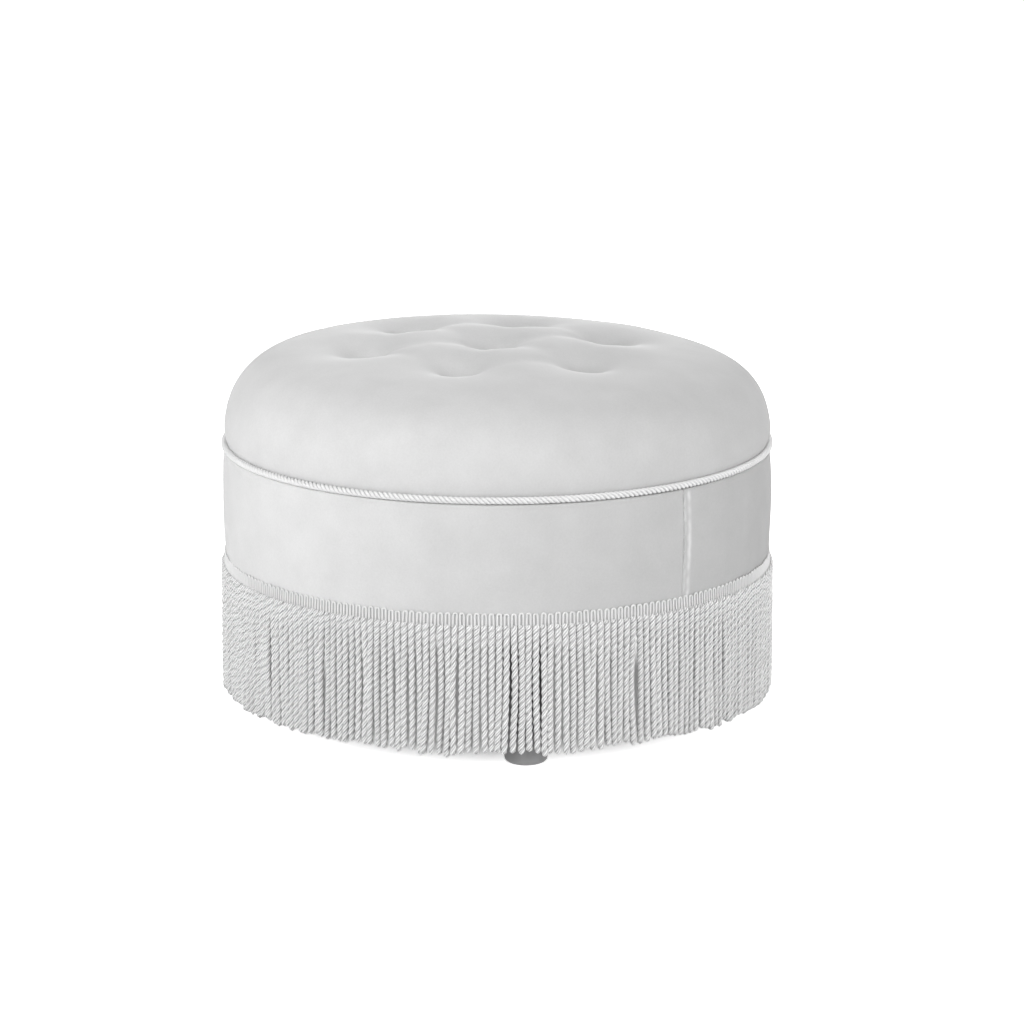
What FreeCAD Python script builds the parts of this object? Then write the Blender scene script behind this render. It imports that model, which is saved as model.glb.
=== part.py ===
import FreeCAD, Part
import math
import os

from FreeCAD import Vector

# A round upholstered stool: four legs under a plywood drum, a foam and velvet seat with blind tufts,
# a velvet band round the side, a trim cord in the seam and a hanging fringe that hides the legs.
# Millimetres. The origin is on the floor under the middle of the stool, and +Z is up.

# Clearances
soft_gap = 0.3          # between two layers of cloth, foam or wadding, and round a soft piece
bolt_gap = 0.15         # on the radius, round a bolt, screw or staple leg in its hole
panel_gap = 0.4         # between the butted ends of two bent panels

# Plywood drum
board_radius = 288.0
board_thickness = 18.0
post_length = 92.0
post_width = 40.0
post_depth = 30.0
post_count = 8
wall_thickness = 3.0

# Legs and what fastens them
leg_count = 4
leg_from_board_edge = 25.0
leg_length = 157.8
foot_diameter = 46.0
foot_rounding = 5.5
leg_top_diameter = 52.0
leg_top_chamfer = 2.0
leg_bore_spare = 2.0
glide_diameter = 22.0
glide_edge = 2.5
glide_stand = 1.0
glide_edge_bow = 0.4
nail_diameter = 2.5
nail_length = 16.0
nail_point = 2.0
nail_bore_spare = 1.0
bolt_diameter = 8.0
bolt_in_leg = 35.0
bolt_above_nut = 4.5
bolt_point = 3.0
bolt_tip_radius = 1.0
bolt_end_chamfer = 1.0
nut_flange_diameter = 24.0
nut_flange_thickness = 1.5
nut_barrel_wall = 1.1
nut_barrel_length = 12.0
nut_prong_ring = 8.8
nut_prong_width = 2.6
nut_prong_thickness = 1.2
nut_prong_length = 6.0

# Screws through the boards into the posts
screw_diameter = 4.0
screw_length = 50.0
screw_head_diameter = 8.0
screw_head_depth = 2.6
screw_point = 4.0
screw_hole_spare = 1.0

# Seat: the cover's outer form, and the layers under it
crown_radius = 1340.0
shoulder_radius = 72.1
widest_above_deck = 26.7
widest_over_board = 10.7
cover_thickness = 1.2
skirt_length = 15.0
wadding_thickness = 8.0

# Tufts: one in the middle, the others on a ring
tuft_ring_radius = 140.0
tuft_ring_count = 6
tuft_flare_radius = 120.0
tuft_neck_radius = 14.0
tuft_pit_radius = 4.5
tuft_rim_lift = 0.8
tuft_flare_slope = 28.0
tuft_neck_slope = 75.0
twine_diameter = 2.5
twine_knot_diameter = 7.0
twine_knot_gap = 0.1
washer_diameter = 24.0
washer_thickness = 3.0

# Side band with its seams, side foam and tack strip
side_foam_thickness = 6.0
band_thickness = 1.2
band_bulge = 2.9
band_bulge_height = 72.0
band_top_drop = 1.0
band_top_rounding = 3.0
band_flange = 4.5
band_return = 23.0
band_seam_width = 4.0
band_seam_stand = 0.9
band_seam_overlap = 0.2
tack_strip_width = 12.0
tack_strip_thickness = 1.0

# Trim cord and the tape that it is sewn to
trim_cord_diameter = 8.0
trim_cord_set_in = 1.5
lip_thickness = 0.8
lip_length = 10.0
lip_bend_below_deck = 2.0
lip_bend_relief = 0.4

# Fringe
header_height = 15.0
header_thickness = 2.2
header_drop = 2.5
header_lean = 0.9
header_top_spread = 0.4
fringe_cord_diameter = 6.8
fringe_cord_space = 0.9
fringe_cord_length = 137.5
fringe_wave = 2.5
fringe_stand = 0.9

# Dust cover and staples
dust_cover_from_board_edge = 14.0
dust_cover_thickness = 0.6
dust_hole_spare = 2.0
staple_crown = 10.0
staple_leg = 7.0
staple_wire = 0.8
return_staple_from_board_edge = 3.0
dust_staple_from_cover_edge = 6.0
first_staple_turn = 1.0
skirt_staple_count = 32
skirt_staple_height = 2.0
return_staple_count = 28
dust_staple_count = 24

# How the pieces are turned about the upright axis, in degrees
first_leg_turn = 45.0
first_post_turn = 22.5
first_tuft_turn = -8.5
first_seam_turn = -10.9

os.makedirs("parts", exist_ok=True)

# Heights, from the floor up
leg_foot_z = glide_stand
leg_top_z = leg_foot_z + leg_length
base_bottom_z = leg_top_z + band_thickness
base_top_z = base_bottom_z + board_thickness
header_bottom_z = base_bottom_z - header_drop
header_top_z = header_bottom_z + header_height
deck_bottom_z = base_top_z + post_length
deck_top_z = deck_bottom_z + board_thickness
skirt_foot_z = deck_top_z - skirt_length
widest_z = deck_top_z + widest_above_deck

# Radii, from the drum outwards
leg_ring_radius = board_radius - leg_from_board_edge
dust_cover_radius = board_radius - dust_cover_from_board_edge
wall_inner_radius = board_radius + soft_gap
wall_outer_radius = wall_inner_radius + wall_thickness
skirt_inner_radius = wall_outer_radius + soft_gap
skirt_outer_radius = skirt_inner_radius + cover_thickness
lip_inner_radius = skirt_outer_radius + soft_gap
lip_outer_radius = lip_inner_radius + lip_thickness
side_foam_inner_radius = wall_outer_radius + soft_gap
band_low_radius = side_foam_inner_radius + side_foam_thickness + soft_gap + band_thickness
band_top_radius = band_low_radius + band_bulge - band_top_drop
flange_inner_radius = band_top_radius - band_flange
post_outer_radius = math.sqrt(board_radius ** 2 - (post_width / 2) ** 2) - soft_gap
post_ring_radius = post_outer_radius - post_depth / 2

# The trim cord sits in the corner between the seat and the band's top edge
band_top_z = deck_top_z - soft_gap
trim_cord_z = band_top_z + soft_gap + trim_cord_diameter / 2
trim_cord_ring = band_top_radius - trim_cord_set_in

# The seat's outer form is a crown arc that runs into a shoulder arc, and the two share a tangent
shoulder_centre_r = board_radius + widest_over_board - shoulder_radius
crown_centre_z = widest_z - math.sqrt((crown_radius - shoulder_radius) ** 2 - shoulder_centre_r ** 2)
crown_top_z = crown_centre_z + crown_radius


def at(r, z):
    """A point of a profile in the upright XZ plane."""
    return Vector(r, 0, z)


def line(start, end):
    return Part.LineSegment(start, end).toShape()


def arc(start, middle, end):
    return Part.Arc(start, middle, end).toShape()


def on_circle(centre_r, centre_z, radius, degrees):
    """The point of a circle in the XZ plane at this angle from +X towards +Z."""
    turn = math.radians(degrees)
    return at(centre_r + radius * math.cos(turn), centre_z + radius * math.sin(turn))


def circle_arc(centre_r, centre_z, radius, start, end):
    """An arc of a circle in the XZ plane, between two angles in degrees."""
    points = [on_circle(centre_r, centre_z, radius, turn) for turn in (start, (start + end) / 2, end)]
    return arc(*points)


def spun(edges, start=0.0, sweep=360.0):
    """The solid that a closed profile of edges makes when it turns about the upright axis."""
    face = Part.Face(Part.Wire(edges))
    solid = face.revolve(Vector(0, 0, 0), Vector(0, 0, 1), sweep)
    solid.rotate(Vector(0, 0, 0), Vector(0, 0, 1), start)
    return solid


def spun_polygon(points, start=0.0, sweep=360.0):
    """The same for a profile with straight sides, given as (r, z) pairs."""
    corners = [at(r, z) for r, z in points]
    edges = [line(a, b) for a, b in zip(corners, corners[1:] + corners[:1])]
    return spun(edges, start, sweep)


def ring(inner, outer, bottom, top, start=0.0, sweep=360.0):
    """A plain ring, or a stretch of one, between two radii and two heights."""
    return spun_polygon([(inner, bottom), (outer, bottom), (outer, top), (inner, top)], start, sweep)


def disc(radius, bottom, top):
    return Part.makeCylinder(radius, top - bottom, Vector(0, 0, bottom))


def placed(shape, radius, degrees):
    """A copy of a shape drawn on the upright axis, moved out along +X and then turned."""
    copy = shape.copy()
    copy.translate(Vector(radius, 0, 0))
    copy.rotate(Vector(0, 0, 0), Vector(0, 0, 1), degrees)
    return copy


def around(shape, radius, count, first):
    """Copies of a shape, evenly spaced round a ring."""
    return [placed(shape, radius, first + 360.0 * k / count) for k in range(count)]


def save(name, shapes):
    """Writes one node: a single solid, or a group of separate solids."""
    solids = shapes if isinstance(shapes, list) else [shapes]
    shape = solids[0] if len(solids) == 1 else Part.makeCompound(solids)
    shape.exportStep("parts/" + name + ".step")
    print(name, len(shape.Solids), "solids, volume", round(shape.Volume), "valid", shape.isValid())


# Legs: round, turned, a little narrower at the foot, with a bolt bore in the top and a nail bore below

bolt_bore_depth = bolt_in_leg + leg_bore_spare
leg_turns = [first_leg_turn + 360.0 * k / leg_count for k in range(leg_count)]
leg_names = ["back_right", "back_left", "front_left", "front_right"]


def turned_leg():
    foot_r = foot_diameter / 2
    top_r = leg_top_diameter / 2
    bore_r = bolt_diameter / 2 + bolt_gap
    corner_z = leg_foot_z + foot_rounding
    edges = [
        line(at(0, leg_foot_z), at(foot_r - foot_rounding, leg_foot_z)),
        circle_arc(foot_r - foot_rounding, corner_z, foot_rounding, -90, 0),
        line(at(foot_r, corner_z), at(top_r, leg_top_z - leg_top_chamfer)),
        line(at(top_r, leg_top_z - leg_top_chamfer), at(top_r - leg_top_chamfer, leg_top_z)),
        line(at(top_r - leg_top_chamfer, leg_top_z), at(0, leg_top_z)),
        line(at(0, leg_top_z), at(0, leg_foot_z)),
    ]
    leg = spun(edges)
    bore = disc(bore_r, leg_top_z - bolt_bore_depth, leg_top_z)
    nail_bore = disc(nail_diameter / 2 + bolt_gap, leg_foot_z, leg_foot_z + nail_length + nail_bore_spare)
    return leg.cut(bore).cut(nail_bore)


def glide():
    """A nail-on glide: a low domed button with its nail."""
    head_r = glide_diameter / 2
    nail_r = nail_diameter / 2
    middle = at(head_r - (1 - glide_edge_bow) * glide_edge / 2, glide_edge_bow * glide_stand)
    edges = [
        line(at(0, 0), at(head_r - glide_edge, 0)),
        arc(at(head_r - glide_edge, 0), middle, at(head_r, glide_stand)),
        line(at(head_r, glide_stand), at(nail_r, glide_stand)),
        line(at(nail_r, glide_stand), at(nail_r, glide_stand + nail_length - nail_point)),
        line(at(nail_r, glide_stand + nail_length - nail_point), at(0, glide_stand + nail_length)),
        line(at(0, glide_stand + nail_length), at(0, 0)),
    ]
    return spun(edges)


for leg_name, turn in zip(leg_names, leg_turns):
    save("leg_" + leg_name, placed(turned_leg(), leg_ring_radius, turn))
    save("glide_" + leg_name, placed(glide(), leg_ring_radius, turn))

# Hanger bolts: a wood point in the leg, and a machine end up through the tee nut

bolt_low_z = leg_top_z - bolt_in_leg
bolt_high_z = base_top_z + nut_flange_thickness + bolt_above_nut
bolt_r = bolt_diameter / 2
hanger_bolt = spun_polygon([
    (0, bolt_low_z), (bolt_tip_radius, bolt_low_z), (bolt_r, bolt_low_z + bolt_point),
    (bolt_r, bolt_high_z - bolt_end_chamfer), (bolt_r - bolt_end_chamfer, bolt_high_z), (0, bolt_high_z),
])
save("hanger_bolts", around(hanger_bolt, leg_ring_radius, leg_count, first_leg_turn))

# Tee nuts: a flange on the base board, a barrel down into it and four prongs

nut_bore_r = bolt_r + bolt_gap
nut_barrel_r = nut_bore_r + nut_barrel_wall


def tee_nut(grow=0.0):
    """The nut, or with grow the larger space that the board leaves for its barrel and prongs."""
    low_z = base_top_z - nut_barrel_length
    body = disc(nut_barrel_r + grow, low_z, base_top_z)
    if grow == 0.0:
        body = body.fuse(disc(nut_flange_diameter / 2, base_top_z, base_top_z + nut_flange_thickness))
    for k in range(4):
        prong = Part.makeBox(
            nut_prong_thickness + 2 * grow, nut_prong_width + 2 * grow, nut_prong_length + grow,
            Vector(nut_prong_ring - grow, -nut_prong_width / 2 - grow, base_top_z - nut_prong_length - grow))
        prong.rotate(Vector(0, 0, 0), Vector(0, 0, 1), 90.0 * k)
        body = body.fuse(prong)
    return body.cut(disc(nut_bore_r, low_z, base_top_z + nut_flange_thickness)) if grow == 0.0 else body


save("tee_nuts", around(tee_nut(), leg_ring_radius, leg_count, first_leg_turn))

# Posts and the screws that hold the two boards to them


def screw():
    """A countersunk wood screw, head up, with the top of its head at z = 0."""
    shank_r = screw_diameter / 2
    return spun_polygon([
        (0, -screw_length), (shank_r, screw_point - screw_length), (shank_r, -screw_head_depth),
        (screw_head_diameter / 2, 0), (0, 0),
    ])


def screw_space():
    """The hole for a screw, a little larger than the screw all round."""
    hole_r = screw_diameter / 2 + bolt_gap
    head_r = screw_head_diameter / 2 + bolt_gap
    foot_z = -screw_length - screw_hole_spare
    return spun_polygon([
        (0, foot_z), (hole_r, foot_z), (hole_r, -screw_head_depth),
        (head_r, 0), (0, 0),
    ])


def screws_down(shape):
    """Copies of a screw or its hole, from the deck's top down into each post."""
    copy = shape.copy()
    copy.translate(Vector(0, 0, deck_top_z))
    return around(copy, post_ring_radius, post_count, first_post_turn)


def screws_up(shape):
    """The same, from the base board's underside up into each post."""
    copy = shape.copy()
    copy.rotate(Vector(0, 0, 0), Vector(1, 0, 0), 180)
    copy.translate(Vector(0, 0, base_bottom_z))
    return around(copy, post_ring_radius, post_count, first_post_turn)


save("deck_screws", screws_down(screw()))
save("base_screws", screws_up(screw()))

for k in range(post_count):
    corner = Vector(-post_depth / 2, -post_width / 2, base_top_z)
    post = Part.makeBox(post_depth, post_width, post_length, corner)
    post = placed(post, post_ring_radius, first_post_turn + 360.0 * k / post_count)
    post = post.cut([screws_down(screw_space())[k], screws_up(screw_space())[k]])
    save("post_" + str(k + 1), post)

# Tufts: each is pulled down along the seat's own normal, and its twine hangs straight to the deck

flare_turn = math.radians(tuft_flare_slope)
neck_turn = math.radians(tuft_neck_slope)
tuft_rim_radius = (tuft_pit_radius + tuft_flare_radius * math.sin(flare_turn)
                   + tuft_neck_radius * (math.sin(neck_turn) - math.sin(flare_turn)))
flare_centre_z = tuft_rim_lift - tuft_flare_radius
neck_centre_r = tuft_rim_radius - (tuft_flare_radius - tuft_neck_radius) * math.sin(flare_turn)
neck_centre_z = flare_centre_z + (tuft_flare_radius - tuft_neck_radius) * math.cos(flare_turn)
tuft_depth = -(neck_centre_z + tuft_neck_radius * math.cos(neck_turn))


def seat_height(radius):
    """The height of the untufted crown at this radius."""
    return crown_centre_z + math.sqrt(crown_radius ** 2 - radius ** 2)


def tuft_places():
    """The ring radius and turn of every tuft, the middle one first."""
    ring_turns = [first_tuft_turn + 360.0 * k / tuft_ring_count for k in range(tuft_ring_count)]
    return [(0.0, 0.0)] + [(tuft_ring_radius, turn) for turn in ring_turns]


def pit_point(radius):
    """Where a tuft's bottom lies, as the ring radius and the height of the cover's outer side."""
    slope = math.asin(radius / crown_radius)
    return radius - tuft_depth * math.sin(slope), seat_height(radius) - tuft_depth * math.cos(slope)


def tuft_space(radius, degrees, inset):
    """The trumpet that a tuft takes out of a layer, inset below the cover's outer side.

    Its wall is two arcs, a wide flare and a tight neck, which bulge towards the tuft as the puffs do.
    """
    flare_r = tuft_flare_radius - inset
    neck_r = tuft_neck_radius - inset
    pit_z = -tuft_depth - inset
    join = on_circle(neck_centre_r, neck_centre_z, neck_r, 90 + tuft_neck_slope)
    rim_z = flare_centre_z + flare_r
    above = 40.0
    edges = [
        line(at(0, above), at(0, pit_z)),
        line(at(0, pit_z), at(join.x, pit_z)),
        line(at(join.x, pit_z), join),
        circle_arc(neck_centre_r, neck_centre_z, neck_r, 90 + tuft_neck_slope, 90 + tuft_flare_slope),
        circle_arc(tuft_rim_radius, flare_centre_z, flare_r, 90 + tuft_flare_slope, 90),
        line(at(tuft_rim_radius, rim_z), at(tuft_rim_radius, above)),
        line(at(tuft_rim_radius, above), at(0, above)),
    ]
    if pit_z > join.z - 0.001:
        edges[1:3] = [line(at(0, pit_z), join)]
    trumpet = spun(edges)
    trumpet.rotate(Vector(0, 0, 0), Vector(0, 1, 0), math.degrees(math.asin(radius / crown_radius)))
    trumpet.translate(Vector(radius, 0, seat_height(radius)))
    trumpet.rotate(Vector(0, 0, 0), Vector(0, 0, 1), degrees)
    return trumpet


def seat_form(inset, foot_z, foot_radius=None):
    """The tufted seat, inset below the cover's outer side, down to foot_z.

    With a foot_radius the shoulder arc stops where it meets that radius and the side drops straight.
    """
    shoulder_r = shoulder_radius - inset
    crown_r = crown_radius - inset
    top = at(0, crown_centre_z + crown_r)
    join_turn = math.degrees(math.atan2(widest_z - crown_centre_z, shoulder_centre_r))
    if foot_radius is None:
        end_turn = -math.degrees(math.asin((widest_z - foot_z) / shoulder_r))
    else:
        end_turn = -math.degrees(math.acos((foot_radius - shoulder_centre_r) / shoulder_r))
    end = on_circle(shoulder_centre_r, widest_z, shoulder_r, end_turn)
    edges = [
        circle_arc(0, crown_centre_z, crown_r, 90, join_turn),
        circle_arc(shoulder_centre_r, widest_z, shoulder_r, join_turn, end_turn),
    ]
    if foot_radius is not None:
        edges.append(line(end, at(foot_radius, foot_z)))
        end = at(foot_radius, foot_z)
    edges.append(line(end, at(0, foot_z)))
    edges.append(line(at(0, foot_z), top))
    return spun(edges).cut([tuft_space(radius, turn, inset) for radius, turn in tuft_places()])


def twine_holes(hole_r, bottom, top):
    """Straight bores for the tufting twines, between two heights."""
    return [placed(disc(hole_r, bottom, top), pit_point(radius)[0], turn) for radius, turn in tuft_places()]


# Top cover: one velvet shell with a straight skirt, which is stapled round the drum's top edge

cover_inner_z = skirt_foot_z - 5.0
top_cover = seat_form(0.0, skirt_foot_z, skirt_outer_radius)
top_cover = top_cover.cut(seat_form(cover_thickness, cover_inner_z, skirt_inner_radius))

# Wadding and foam under the cover, both on the deck, with a bore for each twine

wadding_outer_inset = cover_thickness + soft_gap
wadding_inner_inset = wadding_outer_inset + wadding_thickness
foam_inset = wadding_inner_inset + soft_gap
twine_bore_r = twine_diameter / 2 + soft_gap
wadding = seat_form(wadding_outer_inset, deck_top_z).cut(seat_form(wadding_inner_inset, deck_top_z - 5.0))
save("seat_wadding", wadding.cut(twine_holes(twine_bore_r, deck_top_z, crown_top_z)))
save("seat_foam", seat_form(foam_inset, deck_top_z).cut(twine_holes(twine_bore_r, deck_top_z, crown_top_z)))

# Tufting twines, knotted under a washer below the deck


def twine(top_z):
    shaft = disc(twine_diameter / 2, deck_bottom_z - washer_thickness - twine_knot_diameter / 2, top_z)
    knot_z = deck_bottom_z - washer_thickness - twine_knot_diameter / 2 - twine_knot_gap
    return shaft.fuse(Part.makeSphere(twine_knot_diameter / 2, Vector(0, 0, knot_z)))


twines = []
for radius, turn in tuft_places():
    pit_r, pit_z = pit_point(radius)
    twines.append(placed(twine(pit_z - cover_thickness - soft_gap), pit_r, turn))
save("tuft_twines", twines)

washer = disc(washer_diameter / 2, deck_bottom_z - washer_thickness, deck_bottom_z)
washer = washer.cut(disc(twine_bore_r, deck_bottom_z - washer_thickness, deck_bottom_z))
save("tuft_washers", [placed(washer, pit_point(radius)[0], turn) for radius, turn in tuft_places()])


# Staples: a flat crown and two legs, drawn pointing along +Z from a crown that lies below z = 0


def staple(grow=0.0):
    """One staple, or with grow the slot that it leaves in what it is driven through."""
    width = staple_wire + 2 * grow
    corner = Vector(-width / 2, -staple_crown / 2, -staple_wire)
    crown = Part.makeBox(width, staple_crown, staple_wire, corner)
    legs = [
        Part.makeBox(width, width, staple_leg + grow, Vector(-width / 2, y - grow, 0))
        for y in (-staple_crown / 2, staple_crown / 2 - staple_wire)
    ]
    return crown.fuse(legs) if grow == 0.0 else Part.makeCompound(legs)


def staples_from_below(shape, z, radius, turns):
    """Copies of a staple or its slot, driven up at this height."""
    copy = shape.copy()
    copy.translate(Vector(0, 0, z))
    return [placed(copy, radius, turn) for turn in turns]


def staples_from_outside(shape, z, radius, turns):
    """The same, driven inwards at this radius."""
    copy = shape.copy()
    copy.rotate(Vector(0, 0, 0), Vector(0, 1, 0), -90)
    copy.translate(Vector(0, 0, z))
    return [placed(copy, radius, turn) for turn in turns]


def even_turns(count, first=0.0):
    return [first + 360.0 * k / count for k in range(count)]


def clear_of_legs(turns, margin):
    """Only the turns that lie this many degrees or more from every leg."""
    spread = 360.0 / leg_count
    return [turn for turn in turns if margin <= (turn - first_leg_turn) % spread <= spread - margin]


leg_margin = math.degrees(math.asin((leg_top_diameter / 2 + staple_crown) / leg_ring_radius))
skirt_flat_radius = skirt_outer_radius + 0.5 * soft_gap
skirt_staple_z = skirt_foot_z + skirt_staple_height
skirt_turns = even_turns(skirt_staple_count, first_post_turn / 2)
return_radius = board_radius - return_staple_from_board_edge
return_turns = clear_of_legs(even_turns(return_staple_count, first_staple_turn), leg_margin)
dust_radius = dust_cover_radius - dust_staple_from_cover_edge
dust_turns = clear_of_legs(even_turns(dust_staple_count, first_staple_turn), leg_margin)
dust_cover_bottom_z = base_bottom_z - dust_cover_thickness

skirt_slots = staples_from_outside(staple(bolt_gap), skirt_staple_z, skirt_flat_radius, skirt_turns)
return_slots = staples_from_below(staple(bolt_gap), leg_top_z, return_radius, return_turns)
dust_slots = staples_from_below(staple(bolt_gap), dust_cover_bottom_z, dust_radius, dust_turns)
save("skirt_staples", staples_from_outside(staple(), skirt_staple_z, skirt_flat_radius, skirt_turns))
save("band_staples", staples_from_below(staple(), leg_top_z, return_radius, return_turns))
save("dust_cover_staples", staples_from_below(staple(), dust_cover_bottom_z, dust_radius, dust_turns))
save("top_cover", top_cover.cut(skirt_slots))

# Base board and top deck

base_board = disc(board_radius, base_bottom_z, base_top_z)
bolt_holes = around(disc(nut_bore_r, base_bottom_z, base_top_z), leg_ring_radius, leg_count, first_leg_turn)
nut_spaces = around(tee_nut(bolt_gap), leg_ring_radius, leg_count, first_leg_turn)
base_board = base_board.cut(bolt_holes + nut_spaces + screws_up(screw_space()))
save("base_board", base_board.cut(return_slots + dust_slots))

top_deck = disc(board_radius, deck_bottom_z, deck_top_z)
top_deck = top_deck.cut(screws_down(screw_space()) + twine_holes(twine_bore_r, deck_bottom_z, deck_top_z))
save("top_deck", top_deck.cut(skirt_slots))

# Side wall: two half rings of bent plywood that meet over two posts

for name, start in (("side_wall_back", first_post_turn), ("side_wall_front", first_post_turn + 180.0)):
    end_gap = math.degrees(panel_gap / wall_outer_radius)
    half = ring(wall_inner_radius, wall_outer_radius, base_bottom_z, deck_top_z,
                start + end_gap / 2, 180.0 - end_gap)
    save(name, half.cut(skirt_slots))

# Side band: each panel bulges a little, turns in at the top over the tack strip and under the base board


def band_side(inset):
    """The band's outer side, inset into the cloth: a shallow arc, then a round into the top flange."""
    round_z = band_top_z - band_top_rounding
    round_r = band_top_rounding - inset
    low = at(band_low_radius - inset, base_bottom_z)
    middle = at(band_low_radius + band_bulge - inset, base_bottom_z + band_bulge_height)
    high = at(band_top_radius - inset, round_z)
    centre_r = band_top_radius - band_top_rounding
    return low, middle, high, circle_arc(centre_r, round_z, round_r, 0, 90)


def band_panel(start, sweep):
    """A stretch of the band, from its top flange down the side to the return under the base board."""
    low, middle, high, corner = band_side(0.0)
    in_low, in_middle, in_high, in_corner = band_side(band_thickness)
    centre_r = band_top_radius - band_top_rounding
    return_r = band_low_radius - band_return
    edges = [
        arc(low, middle, high),
        corner,
        line(at(centre_r, band_top_z), at(flange_inner_radius, band_top_z)),
        line(at(flange_inner_radius, band_top_z), at(flange_inner_radius, band_top_z - band_thickness)),
        line(at(flange_inner_radius, band_top_z - band_thickness), at(centre_r, band_top_z - band_thickness)),
        in_corner,
        arc(in_high, in_middle, in_low),
        line(in_low, at(return_r, base_bottom_z)),
        line(at(return_r, base_bottom_z), at(return_r, leg_top_z)),
        line(at(return_r, leg_top_z), at(low.x, leg_top_z)),
        line(at(low.x, leg_top_z), low),
    ]
    return spun(edges, start, sweep)


def seam_ridge(start, sweep):
    """The sewn lap at a panel's end: a narrow strip that stands a little proud of the band."""
    low, middle, high, _ = band_side(band_seam_overlap)
    out_low, out_middle, out_high, _ = band_side(-band_seam_stand)
    edges = [
        line(low, out_low),
        arc(out_low, out_middle, out_high),
        line(out_high, high),
        arc(high, middle, low),
    ]
    ridge = spun(edges, start, sweep)
    header_space = ring(low.x - 5.0, low.x + 5.0, leg_top_z, header_top_z + soft_gap)
    return ridge.cut(header_space)


seam_sweep = math.degrees(band_seam_width / band_low_radius)
band_end_gap = math.degrees(panel_gap / band_low_radius)
for name, start in (("band_panel_back", first_seam_turn), ("band_panel_front", first_seam_turn + 180.0)):
    panel = band_panel(start + band_end_gap / 2, 180.0 - band_end_gap)
    panel = panel.fuse(seam_ridge(start + band_end_gap / 2, seam_sweep))
    save(name, panel.cut(return_slots))

# Side foam: a strip round the wall that fills the band, stepped back at the top for skirt and lip

foam_top_z = band_top_z - band_thickness - soft_gap
foam_step_z = skirt_foot_z - soft_gap
foam_step_radius = flange_inner_radius - 2 * soft_gap
in_low, in_middle, in_high, in_corner = band_side(band_thickness + soft_gap)
corner_r = band_top_radius - band_top_rounding
strip_low_z = foam_top_z - tack_strip_width
strip_outer = band_top_radius - band_thickness - soft_gap
strip_inner = strip_outer - tack_strip_thickness
foam_edges = [
    arc(in_low, in_middle, in_high),
    in_corner,
    line(at(corner_r, foam_top_z), at(foam_step_radius, foam_top_z)),
    line(at(foam_step_radius, foam_top_z), at(foam_step_radius, foam_step_z)),
    line(at(foam_step_radius, foam_step_z), at(side_foam_inner_radius, foam_step_z)),
    line(at(side_foam_inner_radius, foam_step_z), at(side_foam_inner_radius, base_bottom_z)),
    line(at(side_foam_inner_radius, base_bottom_z), in_low),
]
strip_space = ring(strip_inner - soft_gap, strip_outer + 5.0, strip_low_z - soft_gap, deck_top_z)
side_foam = spun(foam_edges).cut(strip_space)
save("side_foam", side_foam)

# Tack strip: card, just inside the band's top edge

strip_top_z = band_top_z - band_top_rounding
save("tack_strip", ring(strip_inner, strip_outer, strip_low_z, strip_top_z))

# Trim cord and its lip: the tape stands in the seam and its edge turns out to meet the cord

trim_cord = Part.makeTorus(trim_cord_ring, trim_cord_diameter / 2, Vector(0, 0, trim_cord_z), Vector(0, 0, 1))
save("trim_cord", trim_cord)

lip_low_z = deck_top_z - lip_length
lip_bend_z = deck_top_z - lip_bend_below_deck
reach = math.hypot(trim_cord_ring - lip_inner_radius, trim_cord_z - lip_bend_z)
to_cord_r = (trim_cord_ring - lip_inner_radius) / reach
to_cord_z = (trim_cord_z - lip_bend_z) / reach
lip_reach = reach - trim_cord_diameter / 2 - soft_gap
tip_r = lip_inner_radius + to_cord_r * lip_reach
tip_z = lip_bend_z + to_cord_z * lip_reach
save("cord_lip", spun_polygon([
    (lip_inner_radius, lip_low_z), (lip_outer_radius, lip_low_z),
    (lip_outer_radius, lip_bend_z - lip_bend_relief),
    (tip_r + lip_thickness * to_cord_z, tip_z - lip_thickness * to_cord_r), (tip_r, tip_z),
    (lip_inner_radius, lip_bend_z),
]))

# Fringe header: a woven strip that stands against the band's lower edge

header_low_r = band_low_radius + soft_gap
save("fringe_header", spun_polygon([
    (header_low_r, header_bottom_z), (header_low_r + header_thickness, header_bottom_z),
    (header_low_r + header_thickness + header_top_spread, header_top_z),
    (header_low_r + header_lean, header_top_z),
]))

# Fringe cords: straight, round and closely spaced, with round ends at slightly uneven heights

fringe_ring_radius = header_low_r + header_thickness / 2 + fringe_stand
cord_r = fringe_cord_diameter / 2
cord_spacing = fringe_cord_diameter + fringe_cord_space
fringe_cord_count = round(2 * math.pi * fringe_ring_radius / cord_spacing)


def fringe_cord(length):
    low_z = header_bottom_z - length
    edges = [
        line(at(0, header_bottom_z), at(0, low_z)),
        circle_arc(0, low_z + cord_r, cord_r, -90, 0),
        line(at(cord_r, low_z + cord_r), at(cord_r, header_bottom_z)),
        line(at(cord_r, header_bottom_z), at(0, header_bottom_z)),
    ]
    return spun(edges)


fringe = []
for k in range(fringe_cord_count):
    uneven = fringe_wave * math.sin(2.4 * k) * math.cos(0.7 * k)
    cord = fringe_cord(fringe_cord_length + uneven)
    fringe.append(placed(cord, fringe_ring_radius, 360.0 * k / fringe_cord_count))
save("bullion_fringe", fringe)

# Dust cover: black cloth, flat under the base board, with a hole for each bolt

dust_cover = disc(dust_cover_radius, dust_cover_bottom_z, base_bottom_z)
dust_hole = disc(bolt_r + dust_hole_spare, dust_cover_bottom_z, base_bottom_z)
dust_holes = around(dust_hole, leg_ring_radius, leg_count, first_leg_turn)
save("dust_cover", dust_cover.cut(dust_holes + dust_slots))

print("overall width", round(2 * (fringe_ring_radius + cord_r), 2), "height", round(crown_top_z, 2))
print("tuft depth", round(tuft_depth, 2), "rim radius", round(tuft_rim_radius, 2))
print("fringe cords", fringe_cord_count)
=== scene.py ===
import math

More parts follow.
